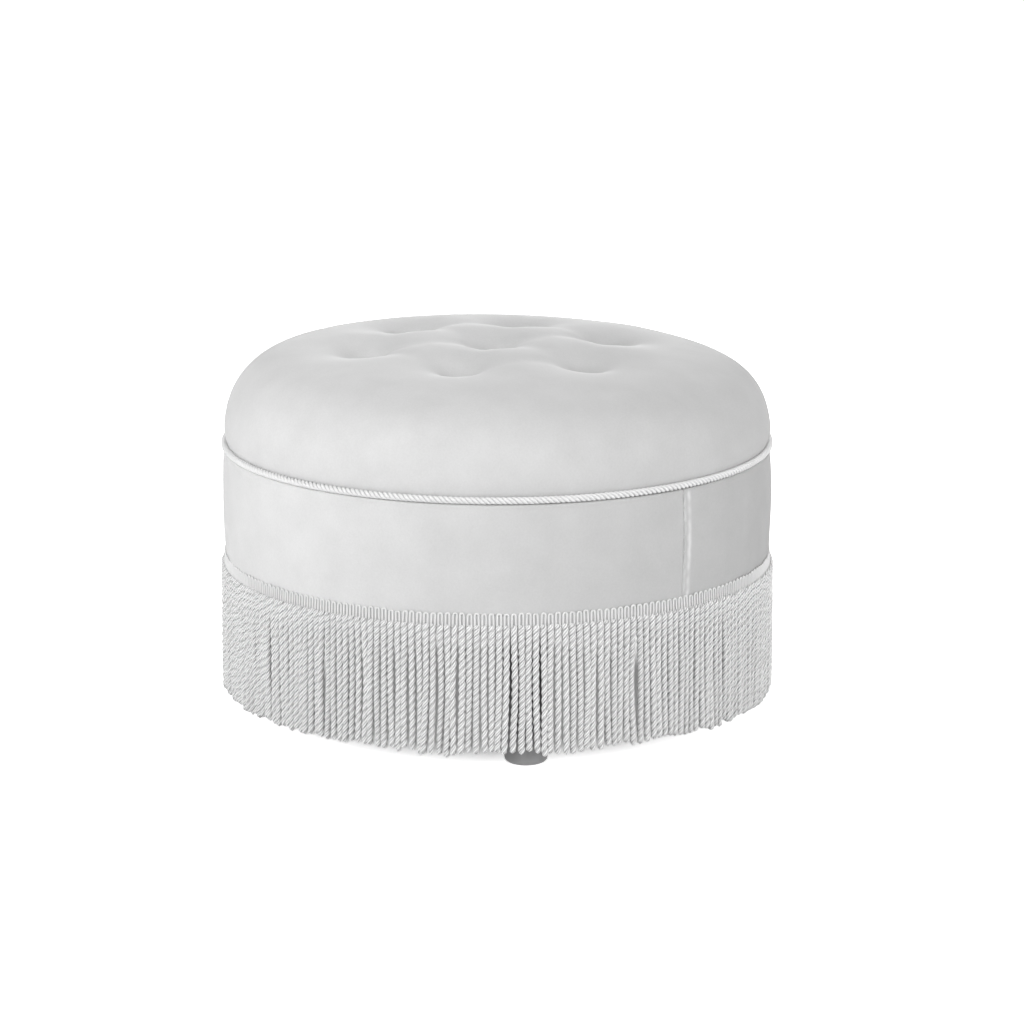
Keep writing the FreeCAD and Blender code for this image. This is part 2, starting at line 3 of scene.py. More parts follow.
import bpy
import numpy as np
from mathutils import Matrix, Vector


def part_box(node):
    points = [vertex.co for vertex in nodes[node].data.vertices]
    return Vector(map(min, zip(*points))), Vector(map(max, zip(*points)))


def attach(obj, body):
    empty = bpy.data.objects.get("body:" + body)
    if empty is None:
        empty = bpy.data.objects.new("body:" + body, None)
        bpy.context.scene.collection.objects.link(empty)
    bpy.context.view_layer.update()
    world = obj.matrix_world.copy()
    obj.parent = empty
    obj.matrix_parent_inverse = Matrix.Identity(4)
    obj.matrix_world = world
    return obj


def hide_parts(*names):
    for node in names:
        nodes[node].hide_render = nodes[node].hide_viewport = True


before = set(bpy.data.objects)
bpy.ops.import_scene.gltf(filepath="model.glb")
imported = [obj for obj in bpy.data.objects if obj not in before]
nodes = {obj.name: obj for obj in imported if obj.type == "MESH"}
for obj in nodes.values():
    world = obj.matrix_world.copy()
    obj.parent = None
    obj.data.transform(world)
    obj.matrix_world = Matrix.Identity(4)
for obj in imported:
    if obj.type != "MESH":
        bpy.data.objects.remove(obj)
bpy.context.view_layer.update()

# The view. A long lens a few metres away, a little above the seat, looks at the leg that stands
# nearest. The stool is small and pale, on a pale floor, in soft light from five large lamps.

view_turn = math.radians(38.4)          # the camera's turn about the stool, 0 looks along +Y
view_pitch = math.radians(13.402)       # down from level
view_yaw = math.radians(0.21)           # to the right, which puts the stool left of the middle
view_distance = 4.485
view_height = 1.277
lens_width = 36.0
lens_length = 146.3


def aimed(thing, turn, pitch):
    """Turns a camera or lamp to look level along +Y turned by this much, and then down by the pitch."""
    thing.rotation_euler = (math.pi / 2 - pitch, 0.0, turn)


lens = bpy.data.cameras.new("camera")
lens.sensor_width = lens_width
lens.lens = lens_length
camera = bpy.data.objects.new("camera", lens)
camera.location = (view_distance * math.sin(view_turn), -view_distance * math.cos(view_turn), view_height)
aimed(camera, view_turn - view_yaw, view_pitch)
bpy.context.scene.collection.objects.link(camera)
bpy.context.scene.camera = camera
bpy.context.scene.view_settings.view_transform = "Standard"


def linear(hex_colour):
    """An sRGB hex colour as linear red, green, blue and alpha."""
    parts = [int(hex_colour[k:k + 2], 16) / 255 for k in (1, 3, 5)]
    return tuple(p / 12.92 if p <= 0.04045 else ((p + 0.055) / 1.055) ** 2.4 for p in parts) + (1.0,)


def add(tree, kind, inputs=None, **settings):
    """Adds one shader node, sets it up, and fills its inputs with values or with other nodes' outputs."""
    made = tree.nodes.new(kind)
    for key, value in settings.items():
        setattr(made, key, value)
    for socket, value in (inputs or {}).items():
        if isinstance(value, bpy.types.NodeSocket):
            tree.links.new(value, made.inputs[socket])
        else:
            made.inputs[socket].default_value = value
    return made


def blank_material(name):
    """A material with an empty node tree, ready for its own nodes."""
    material = bpy.data.materials.new(name)
    material.use_nodes = True
    material.node_tree.nodes.clear()
    return material


aim_height = 0.25                       # the height on the stool that the lamps look at


def lamp(name, turn, height, distance, size, power):
    """A large square lamp round the stool, at this turn from the camera's, aimed at the seat."""
    light = bpy.data.lights.new(name, "AREA")
    light.size = size
    light.energy = power
    thing = bpy.data.objects.new(name, light)
    about = view_turn + math.radians(turn)
    thing.location = (distance * math.sin(about), -distance * math.cos(about), height)
    aimed(thing, about, math.atan2(height - aim_height, distance))
    bpy.context.scene.collection.objects.link(thing)


lamp("left_lamp", -63.0, 1.5, 3.0, 1.6, 41.0)
lamp("front_lamp", -28.0, 1.6, 3.0, 1.6, 47.0)
lamp("right_lamp", 62.0, 1.2, 3.0, 2.0, 66.0)
lamp("high_lamp", -20.0, 3.0, 1.0, 2.0, 15.0)
lamp("back_lamp", 170.0, 2.2, 2.4, 2.0, 28.0)


def seen_rays(tree):
    """A value that is 1 for rays from the camera, off a gloss or through something clear, and else 0."""
    path = add(tree, "ShaderNodeLightPath").outputs
    seen = add(tree, "ShaderNodeMath", {0: path["Is Camera Ray"], 1: path["Is Glossy Ray"]},
               operation="MAXIMUM")
    seen = add(tree, "ShaderNodeMath", {0: seen.outputs[0], 1: path["Is Transmission Ray"]},
               operation="MAXIMUM")
    return seen.outputs[0]


sky_fill = 0.11                         # how strongly the sky lights the stool
sky_shown = 1.3                         # how it shows: white, since the sky's own colour is a pale grey
sky = bpy.data.worlds.new("studio")
sky.use_nodes = True
sky.node_tree.nodes.clear()
sky_strength = add(sky.node_tree, "ShaderNodeMapRange",
                   {"Value": seen_rays(sky.node_tree), "To Min": sky_fill, "To Max": sky_shown})
sky_light = add(sky.node_tree, "ShaderNodeBackground", {"Strength": sky_strength.outputs[0]})
add(sky.node_tree, "ShaderNodeOutputWorld", {"Surface": sky_light.outputs[0]})
bpy.context.scene.world = sky

floor_size = 30.0
painted_shadow_radius = 0.185                    # inside this ring the white glow is dimmed, a painted shadow over the real shade, and it fades from there to the full white that it shows outside this one
clear_radius = 0.285                    # to the white that it shows outside this one
painted_shadow_glow = 0.20
floor_mesh = bpy.data.meshes.new("floor")
half = floor_size / 2
floor_corners = [(-half, -half, 0), (half, -half, 0), (half, half, 0), (-half, half, 0)]
floor_mesh.from_pydata(floor_corners, [], [(0, 1, 2, 3)])
floor = bpy.data.objects.new("floor", floor_mesh)
bpy.context.scene.collection.objects.link(floor)
paper = blank_material("white_paper_floor")
tree = paper.node_tree
# Painted shadow: the white glow that the camera sees is dimmed round the stool's middle
from_middle = add(tree, "ShaderNodeVectorMath", {0: add(tree, "ShaderNodeTexCoord").outputs["Object"]},
                  operation="LENGTH")
clear = add(tree, "ShaderNodeMapRange", {"Value": from_middle.outputs["Value"], "From Min": painted_shadow_radius,
                                         "From Max": clear_radius, "To Min": painted_shadow_glow, "To Max": 1.0},
            interpolation_type="SMOOTHSTEP")
glow_strength = add(tree, "ShaderNodeMath", {0: seen_rays(tree), 1: clear.outputs[0]}, operation="MULTIPLY")
glow = add(tree, "ShaderNodeEmission", {"Strength": glow_strength.outputs[0]})
matt = add(tree, "ShaderNodeBsdfDiffuse", {"Color": linear("#f2f2f2")})
both = add(tree, "ShaderNodeAddShader", {0: glow.outputs[0], 1: matt.outputs[0]})
add(tree, "ShaderNodeOutputMaterial", {"Surface": both.outputs[0]})
floor_mesh.materials.append(paper)

# Legs. Four turned hardwood legs, sprayed in a slate lacquer with a satin film, bolted up under the
# base board. Their feet have a rounded edge and stand on nail-on glides.

leg_places = ("back_right", "back_left", "front_left", "front_right")


def dressed(material, *names):
    """Gives one material to CAD nodes."""
    for name in names:
        nodes[name].data.materials.clear()
        nodes[name].data.materials.append(material)


def principled(tree, colour, roughness, bump=None, **sockets):
    """A Principled shader that ends the tree; sockets are given by name with underscores for spaces."""
    inputs = {"Base Color": colour, "Roughness": roughness}
    if bump is not None:
        inputs["Normal"] = bump
    inputs.update({key.replace("_", " "): value for key, value in sockets.items()})
    shader = add(tree, "ShaderNodeBsdfPrincipled", inputs)
    add(tree, "ShaderNodeOutputMaterial", {"Surface": shader.outputs[0]})


def mottle(tree, coordinates, grain_mm, dark, light, stretch=(1, 1, 1), detail=3.0):
    """A colour that wanders between two shades, with patches of about this many millimetres."""
    moved = add(tree, "ShaderNodeMapping", {"Vector": coordinates, "Scale": stretch})
    noise = add(tree, "ShaderNodeTexNoise",
                {"Vector": moved.outputs[0], "Scale": 1000.0 / grain_mm, "Detail": detail})
    mix = add(tree, "ShaderNodeMix", {"Factor": noise.outputs[0], "A": linear(dark), "B": linear(light)},
              data_type="RGBA")
    return noise, mix.outputs[2]


def bump_of(tree, height, distance_mm, strength=1.0):
    """A bump of this depth in millimetres from a height pattern."""
    made = add(tree, "ShaderNodeBump",
               {"Height": height, "Distance": distance_mm / 1000, "Strength": strength})
    return made.outputs[0]


# Lacquered hardwood: a smooth sprayed film, in which the open grain still shows faintly along the leg
lacquer = blank_material("slate_lacquered_hardwood")
tree = lacquer.node_tree
place = add(tree, "ShaderNodeTexCoord").outputs["Object"]
grain, shade = mottle(tree, place, 3.0, "#8a8a8b", "#919191", stretch=(1, 1, 0.06))
principled(tree, shade, 0.42, bump_of(tree, grain.outputs[0], 0.08))
dressed(lacquer, *["leg_" + place for place in leg_places])

# Nylon: moulded black, with a fine spark-eroded grain
nylon = blank_material("black_moulded_nylon")
tree = nylon.node_tree
place = add(tree, "ShaderNodeTexCoord").outputs["Object"]
grain, shade = mottle(tree, place, 0.8, "#1c1c1c", "#242424")
principled(tree, shade, 0.55, bump_of(tree, grain.outputs[0], 0.03))
dressed(nylon, *["glide_" + place for place in leg_places])

# Fixings. Hanger bolts, tee nuts, wood screws and wire staples, all steel with a thin zinc plating.

zinc = blank_material("zinc_plated_steel")
tree = zinc.node_tree
place = add(tree, "ShaderNodeTexCoord").outputs["Object"]
grain, shade = mottle(tree, place, 1.5, "#b4b6b8", "#cfd0d0")
rough = add(tree, "ShaderNodeMapRange", {"Value": grain.outputs[0], "To Min": 0.28, "To Max": 0.45})
principled(tree, shade, rough.outputs[0], Metallic=1.0)
dressed(zinc, "hanger_bolts", "tee_nuts", "deck_screws", "base_screws", "skirt_staples", "band_staples",
        "dust_cover_staples")

# Drum. Two birch plywood discs held apart by eight pine posts, with thin bent plywood round them.

ply_thickness = 0.0015


def grained_wood(name, dark, light, grain_mm, stretch, layered):
    """Raw sawn wood; when layered, bands of alternate plies show on the upright faces."""
    material = blank_material(name)
    tree = material.node_tree
    coordinates = add(tree, "ShaderNodeTexCoord")
    place = coordinates.outputs["Object"]
    grain, shade = mottle(tree, place, grain_mm, dark, light, stretch=stretch, detail=6.0)
    height = grain.outputs[0]
    if layered:
        level = add(tree, "ShaderNodeSeparateXYZ", {0: place}).outputs["Z"]
        ply = add(tree, "ShaderNodeMath", {0: level, 1: math.pi / ply_thickness}, operation="MULTIPLY")
        ply = add(tree, "ShaderNodeMath", {0: ply.outputs[0]}, operation="SINE")
        facing = add(tree, "ShaderNodeNewGeometry").outputs["Normal"]
        upright = add(tree, "ShaderNodeSeparateXYZ", {0: facing}).outputs["Z"]
        upright = add(tree, "ShaderNodeMath", {0: upright}, operation="ABSOLUTE")
        edge = add(tree, "ShaderNodeMapRange",
                   {"Value": upright.outputs[0], "From Min": 0.7, "From Max": 0.3})
        band = add(tree, "ShaderNodeMapRange", {"Value": ply.outputs[0], "From Min": -0.3, "From Max": 0.3})
        amount = add(tree, "ShaderNodeMath", {0: band.outputs[0], 1: edge.outputs[0]}, operation="MULTIPLY")
        shade = add(tree, "ShaderNodeMix", {"Factor": amount.outputs[0], "A": shade, "B": linear("#a67c4e")},
                    data_type="RGBA").outputs[2]
    principled(tree, shade, 0.7, bump_of(tree, height, 0.15))
    return material


birch = grained_wood("birch_plywood", "#c9a574", "#ddbf92", 6.0, (0.08, 1, 1), True)
dressed(birch, "base_board", "top_deck", "side_wall_back", "side_wall_front")
pine = grained_wood("sawn_pine", "#cfa468", "#e6c894", 5.0, (1, 1, 0.07), False)
dressed(pine, *["post_%d" % (k + 1) for k in range(8)])

# Dust cover. Thin non-woven cloth, pulled flat under the base board and stapled, with a slight sag.


def mesh_piece(name, points, faces, material, uv=None, highlight_and_stitch=None):
    """A smooth mesh object from an array of points, arrays of faces with alike numbers of corners, and
    optional flat coordinates per point. U runs from 0 to 1 round a tube, and where a face closes the tube
    its low corners get 1 more. An optional number per point marks painted highlight and paler stitches."""
    corners = np.concatenate([f.ravel() for f in faces]).astype(np.int32)
    sizes = np.concatenate([np.full(len(f), f.shape[1]) for f in faces])
    starts = np.concatenate([[0], np.cumsum(sizes)[:-1]]).astype(np.int32)
    mesh = bpy.data.meshes.new(name)
    mesh.vertices.add(len(points))
    mesh.vertices.foreach_set("co", np.asarray(points, np.float32).ravel())
    mesh.loops.add(len(corners))
    mesh.loops.foreach_set("vertex_index", corners)
    mesh.polygons.add(len(sizes))
    mesh.polygons.foreach_set("loop_start", starts)
    mesh.polygons.foreach_set("use_smooth", np.ones(len(sizes), bool))
    if uv is not None:
        flat = np.asarray(uv, np.float32)[corners]
        highest = np.repeat(np.maximum.reduceat(flat[:, 0], starts), sizes)
        flat[:, 0] += highest - flat[:, 0] > 0.5
        mesh.uv_layers.new(name="yarn").data.foreach_set("uv", flat.ravel())
    if highlight_and_stitch is not None:
        heights = mesh.attributes.new("highlight_and_stitch", "FLOAT", "POINT")
        heights.data.foreach_set("value", np.asarray(highlight_and_stitch, np.float32).ravel())
    mesh.update(calc_edges=True)
    mesh.materials.append(material)
    piece = bpy.data.objects.new(name, mesh)
    bpy.context.scene.collection.objects.link(piece)
    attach(piece, "root")
    return piece


def grid_faces(rows, columns, closed_columns=False, closed_rows=False, first=0):
    """The quads of a grid of points stored row by row, which may join round in either direction."""
    i = np.arange(rows if closed_rows else rows - 1)[:, None]
    j = np.arange(columns if closed_columns else columns - 1)[None, :]
    up, across = (i + 1) % rows, (j + 1) % columns
    quads = np.stack([i * columns + j + 0 * up, i * columns + across, up * columns + across,
                      up * columns + j], -1)
    return quads.reshape(-1, 4) + first


def solid_cloth(piece, thickness):
    """Gives a cloth surface its thickness, inwards from its outer face."""
    modifier = piece.modifiers.new("thickness", "SOLIDIFY")
    modifier.thickness = thickness
    modifier.offset = -1.0
    modifier.use_even_offset = False


non_woven = blank_material("black_non_woven_cloth")
tree = non_woven.node_tree
place = add(tree, "ShaderNodeTexCoord").outputs["Object"]
fibre, shade = mottle(tree, place, 1.2, "#1b1b1c", "#2a2a2b", detail=5.0)
principled(tree, shade, 0.95, bump_of(tree, fibre.outputs[0], 0.15), Sheen_Weight=0.2)

dust_low, dust_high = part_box("dust_cover")
dust_radius = dust_high.x
dust_thickness = dust_high.z - dust_low.z
dust_sag = 0.0016
sag_reach = 0.82                        # of the radius; outside it the cloth is flat on the board


def dust_surface(rings=40, spokes=96):
    """A disc of rings and spokes that hangs by the square of one minus the squared radius, with ripples."""
    share = np.linspace(0.004, 1.0, rings)[:, None]
    turn = np.linspace(0, 2 * np.pi, spokes, endpoint=False)[None, :]
    inside = np.clip(1 - (share / sag_reach) ** 2, 0, 1)
    hang = dust_sag * inside ** 2 * (1 + 0.25 * np.sin(3 * turn + 7 * share))
    radius = dust_radius * share
    flat = np.stack([radius * np.cos(turn), radius * np.sin(turn), dust_high.z - hang], -1)
    middle = np.array([[0, 0, dust_high.z - dust_sag]])
    ring_one = np.arange(spokes)
    hub = np.stack([np.full(spokes, rings * spokes), (ring_one + 1) % spokes, ring_one], -1)
    faces = grid_faces(rings, spokes, closed_columns=True)[:, ::-1]
    return np.concatenate([flat.reshape(-1, 3), middle]), [faces, hub]


points, faces = dust_surface()
dust_cover = mesh_piece("dust_cover_cloth", points, faces, non_woven)
solid_cloth(dust_cover, dust_thickness)
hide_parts("dust_cover")

# Seat filling. A crowned round of foam and a layer of polyester wadding, drawn down with the cover at
# seven tufts by waxed twines, which pass through the deck and are knotted under nylon washers.

cover_low, cover_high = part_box("top_cover")
deck_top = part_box("top_deck")[1].z
crown_radius = 1.340
shoulder_radius = 0.0721
widest_above_deck = 0.0267
widest_z = deck_top + widest_above_deck
shoulder_centre = cover_high.x - shoulder_radius
crown_centre_z = widest_z - math.sqrt((crown_radius - shoulder_radius) ** 2 - shoulder_centre ** 2)
join_angle = math.atan2(widest_z - crown_centre_z, shoulder_centre)

tuft_ring = 0.140
tuft_turn = math.radians(-8.5)
tuft_bells = ((0.0085, 0.044), (0.0145, 0.020), (0.0020, 0.005))  # depth and width of each bell
crease_depth = 0.0014                   # the slight valleys along the lines between tufts
crease_width = 0.015
puff_rise = 0.0016                      # how far the foam swells between tufts,
puff_gap = 0.05                         # growing over about this distance from a tuft,
puff_reach = 0.225                      # and out to about this radius
shoulder_place = 0.235                  # the radius at which the shoulder is fullest
shoulder_spread = 0.075
shoulder_rise = -0.0004                 # the shoulder stands this much above the plain form, and
uneven_fill = 0.0050                    # by this much more on its fuller side, the left of the view
full_side = view_turn + math.pi
full_overhang = 0.0015                  # how far the cover swells out over the trim cord on its fuller
far_overhang = 0.0024                   # side, and on the side across from it
overhang_z = 0.304
overhang_spread = 0.016
overhang_foot_z = 0.290                 # no swell below this height
tuft_turns = tuft_turn + np.radians(60.0) * np.arange(6)
ring_places = tuft_ring * np.stack([np.cos(tuft_turns), np.sin(tuft_turns)], -1)
tuft_places = np.concatenate([[[0.0, 0.0]], ring_places])
# Each tuft was set by hand a few millimetres off its place, here to the right and away in the view
hand_set = np.array([(-5, -10), (-1, 9), (-12, 9), (-14, -9), (-3, 3), (-9, 5), (-1, 13)]) / 1000
tuft_places = tuft_places + hand_set @ np.array([[math.cos(view_turn), math.sin(view_turn)],
                                                 [-math.sin(view_turn), math.cos(view_turn)]])


def seat_profile(length, inset, skirt_radius):
    """Radius and height, and the outward slope's radius and height parts, at this length along the seat's
    outer line from the middle of the crown: a crown arc, a shoulder arc and a straight drop."""
    crown, shoulder = crown_radius - inset, shoulder_radius - inset
    crown_length = crown * (math.pi / 2 - join_angle)
    end_angle = -math.acos((skirt_radius - shoulder_centre) / shoulder)
    shoulder_length = shoulder * (join_angle - end_angle)
    on_crown = np.minimum(length, crown_length)
    on_shoulder = np.clip(length - crown_length, 0, shoulder_length)
    down = np.maximum(length - crown_length - shoulder_length, 0)
    a = np.pi / 2 - on_crown / crown
    b = join_angle - on_shoulder / shoulder
    past = length > crown_length
    radius = np.where(past, shoulder_centre + shoulder * np.cos(b), crown * np.cos(a))
    height = np.where(past, widest_z + shoulder * np.sin(b), crown_centre_z + crown * np.sin(a))
    straight = down > 0
    out = np.where(straight, 1.0, np.where(past, np.cos(b), np.cos(a)))
    up = np.where(straight, 0.0, np.where(past, np.sin(b), np.sin(a)))
    return radius, height - down, out, up


def round_grid(cells):
    """A square grid of points spread smoothly over a unit disc, as share of the radius and turn."""
    line = np.linspace(-1, 1, cells + 1)
    across, along = np.meshgrid(line, line, indexing="xy")
    x = across * np.sqrt(1 - along ** 2 / 2)
    y = along * np.sqrt(1 - across ** 2 / 2)
    return np.hypot(x, y), np.arctan2(y, x)


def tuft_depth(x, y, inset):
    """How far the surface is drawn in at a place: three bells for each tuft, each the depth times e to the
    minus squared share of its width, and a valley along each line between neighbours, less a swell."""
    away = np.hypot(x[..., None] - tuft_places[:, 0], y[..., None] - tuft_places[:, 1])
    depth = sum(deep * np.exp(-(away / (wide + inset)) ** 2).sum(-1) for deep, wide in tuft_bells)
    lines = [(0, k) for k in range(1, 7)] + [(k, k % 6 + 1) for k in range(1, 7)]
    nearest_line = np.full(x.shape, 1.0)
    for one, other in lines:
        start, along = tuft_places[one], tuft_places[other] - tuft_places[one]
        share = np.clip(((x - start[0]) * along[0] + (y - start[1]) * along[1]) / (along @ along), 0, 1)
        gap = np.hypot(x - start[0] - share * along[0], y - start[1] - share * along[1])
        nearest_line = np.minimum(nearest_line, gap)
    depth = depth + crease_depth * np.exp(-(nearest_line / (crease_width + inset)) ** 2)
    reach = np.hypot(x, y)
    swell = puff_rise * (1 - np.exp(-(away.min(-1) / puff_gap) ** 2)) * np.exp(-(reach / puff_reach) ** 6)
    return depth - swell


def seat_surface(cells, inset, skirt_radius, length):
    """The tufted seat as a grid: the profile carried round the middle, drawn in along its slope, lifted
    at the shoulder by a bell about one radius, and swollen over the cord by a bell about one height."""
    share, turn = round_grid(cells)
    radius, height, out, up = seat_profile(share * length, inset, skirt_radius)
    depth = tuft_depth(radius * np.cos(turn), radius * np.sin(turn), inset)
    sided = np.cos(turn - full_side)
    shoulder = np.exp(-((radius - shoulder_place) / shoulder_spread) ** 2) * np.clip(up, 0, 1)
    lift = (shoulder_rise + uneven_fill * sided) * shoulder
    overhang = full_overhang * np.clip(sided, 0, 1) + far_overhang * np.clip(-sided, 0, 1)
    overhang = overhang * np.exp(-((height - overhang_z) / overhang_spread) ** 2) * (height > overhang_foot_z)
    radius = radius - depth * out * np.clip(share * 8, 0, 1) + overhang
    height = height - depth * up + lift
    return np.stack([radius * np.cos(turn), radius * np.sin(turn), height], -1)


def closed_filling(name, material, cells, inset, node):
    """A layer of filling: the seat's surface set in, closed by a flat underside on the deck."""
    shoulder = shoulder_radius - inset
    foot_angle = -math.asin(widest_above_deck / shoulder)
    length = (crown_radius - inset) * (math.pi / 2 - join_angle) + shoulder * (join_angle - foot_angle)
    foot_radius = shoulder_centre + shoulder * math.cos(foot_angle)
    top = seat_surface(cells, inset, foot_radius, length)
    share, turn = round_grid(cells)
    base = np.stack([foot_radius * share * np.cos(turn), foot_radius * share * np.sin(turn),
                     np.full_like(share, deck_top)], -1)
    faces = grid_faces(cells + 1, cells + 1)
    number = np.arange((cells + 1) ** 2).reshape(cells + 1, cells + 1)
    rim = np.ones_like(number, bool)
    rim[1:-1, 1:-1] = False
    under = np.where(rim, number, number + number.size)
    points = np.concatenate([top.reshape(-1, 3), base.reshape(-1, 3)])
    under_faces = under.ravel()[faces][:, ::-1]
    used = np.unique(np.concatenate([faces.ravel(), under_faces.ravel()]))
    renumber = np.zeros(len(points), int)
    renumber[used] = np.arange(len(used))
    piece = mesh_piece(name, points[used], [renumber[faces], renumber[under_faces]], material)
    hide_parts(node)
    return piece


# Upholstery foam: open cells, which read as a fine soft pitting
foam = blank_material("open_cell_foam")
tree = foam.node_tree
place = add(tree, "ShaderNodeTexCoord").outputs["Object"]
cells, shade = mottle(tree, place, 1.6, "#d9cd9a", "#ece3bd", detail=5.0)
principled(tree, shade, 0.95, bump_of(tree, cells.outputs[0], 0.5))
dressed(foam, "side_foam")

# Polyester wadding: crimped fibre, white and cloudy
wadding = blank_material("polyester_wadding")
tree = wadding.node_tree
place = add(tree, "ShaderNodeTexCoord").outputs["Object"]
fibre, shade = mottle(tree, place, 9.0, "#e4e4e2", "#f6f6f5", detail=8.0)
principled(tree, shade, 1.0, bump_of(tree, fibre.outputs[0], 1.0), Sheen_Weight=0.5)

filling_cells = 110
wadding_inset = 0.0055                  # how far each layer lies under the cover's outer face
foam_inset = 0.0125
foam_piece = closed_filling("foam_round", foam, filling_cells, foam_inset, "seat_foam")
wadding_piece = closed_filling("wadding_layer", wadding, filling_cells, wadding_inset, "seat_wadding")

# Waxed linen twine and the nylon washers under the deck
waxed = blank_material("waxed_linen_twine")
tree = waxed.node_tree
place = add(tree, "ShaderNodeTexCoord").outputs["Object"]
lay, shade = mottle(tree, place, 1.4, "#b8a77e", "#d3c5a0", stretch=(1, 1, 0.5))
principled(tree, shade, 0.5, bump_of(tree, lay.outputs[0], 0.2))
dressed(waxed, "tuft_twines")

white_nylon = blank_material("natural_moulded_nylon")
tree = white_nylon.node_tree
place = add(tree, "ShaderNodeTexCoord").outputs["Object"]
grain, shade = mottle(tree, place, 0.9, "#cfcdc4", "#dedcd4")
principled(tree, shade, 0.5, bump_of(tree, grain.outputs[0], 0.02))
dressed(white_nylon, "tuft_washers")

# Top cover. One round of short-pile velvet, drawn down tight over the crown at the seven blind tufts,
# with its skirt stapled round the top of the drum.


side_light_reach = 0.3                         # about the drum's radius, over which the painted side light changes


def velvet(name, dark, light, highlight_and_stitch_colour, painted_side_light_share):
    """Short-pile velvet: matt and dense, paler at a glancing angle, with painted side light that makes it
    paler towards one side of the stool, the left of the main view, and darker towards the other, with faint
    clouds where the pile lies differently, a painted highlight along sewn folds and paler stitches, and a
    fine grain of the pile, drawn at 2 mm because the real 0.3 mm wouldn't show."""
    material = blank_material(name)
    tree = material.node_tree
    place = add(tree, "ShaderNodeTexCoord").outputs["Object"]
    _, clouds = mottle(tree, place, 38.0, dark, light, detail=4.0)
    pile = add(tree, "ShaderNodeTexNoise", {"Vector": place, "Scale": 1000.0 / 2.0, "Detail": 2.0})
    fleck = add(tree, "ShaderNodeMapRange", {"Value": pile.outputs[0], "To Min": 0.93, "To Max": 1.05})
    shade = add(tree, "ShaderNodeMix", {"Factor": 1.0, "A": clouds, "B": fleck.outputs[0]},
                data_type="RGBA", blend_type="MULTIPLY")
    # Painted side light: the colour is made paler towards the left of the main view and darker across from it
    lean = (math.cos(full_side) / side_light_reach, math.sin(full_side) / side_light_reach, 0.0)
    towards_lit_side = add(tree, "ShaderNodeVectorMath", {0: place, 1: lean}, operation="DOT_PRODUCT")
    painted_side_light = add(tree, "ShaderNodeMapRange", {"Value": towards_lit_side.outputs["Value"],
                                           "From Min": -1.0, "From Max": 1.0,
                                           "To Min": 1 - painted_side_light_share, "To Max": 1 + painted_side_light_share})
    shade = add(tree, "ShaderNodeMix", {"Factor": 1.0, "A": shade.outputs[2], "B": painted_side_light.outputs[0]},
                data_type="RGBA", blend_type="MULTIPLY")
    # Painted highlight: where a piece marks it per point, the colour goes paler along folds and stitches
    highlight_and_stitch = add(tree, "ShaderNodeAttribute", attribute_name="highlight_and_stitch")
    shade = add(tree, "ShaderNodeMix", {"Factor": highlight_and_stitch.outputs["Fac"], "A": shade.outputs[2],
                                        "B": linear(highlight_and_stitch_colour)}, data_type="RGBA")
    principled(tree, shade.outputs[2], 0.9, bump_of(tree, pile.outputs[0], 0.25, 0.5),
               Sheen_Weight=0.5, Sheen_Roughness=0.4, Specular_IOR_Level=0.15)
    return material


# The seat's painted side light moves its colour by 16 per cent either way
seat_velvet = velvet("pale_grey_seat_velvet", "#bebebe", "#cccccc", "#dcdcdc", 0.16)

cover_thickness = 0.0012
skirt_radius = 0.2928
cover_cells = 190
crown_length = crown_radius * (math.pi / 2 - join_angle)
skirt_end_angle = -math.acos((skirt_radius - shoulder_centre) / shoulder_radius)
skirt_start_z = widest_z + shoulder_radius * math.sin(skirt_end_angle)
cover_length = (crown_length + shoulder_radius * (join_angle - skirt_end_angle)
                + skirt_start_z - cover_low.z)
cover_points = seat_surface(cover_cells, 0.0, skirt_radius, cover_length).reshape(-1, 3)
cover_faces = grid_faces(cover_cells + 1, cover_cells + 1)
cover = mesh_piece("velvet_top_cover", cover_points, [cover_faces], seat_velvet)
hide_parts("top_cover")


tuft_grip = 0.006                       # the cover is held inside this distance of a tuft,
tuft_ease = 0.045                       # moves more and more over this much beyond it,
seam_grip = 0.008                       # and is held up to this height above the deck


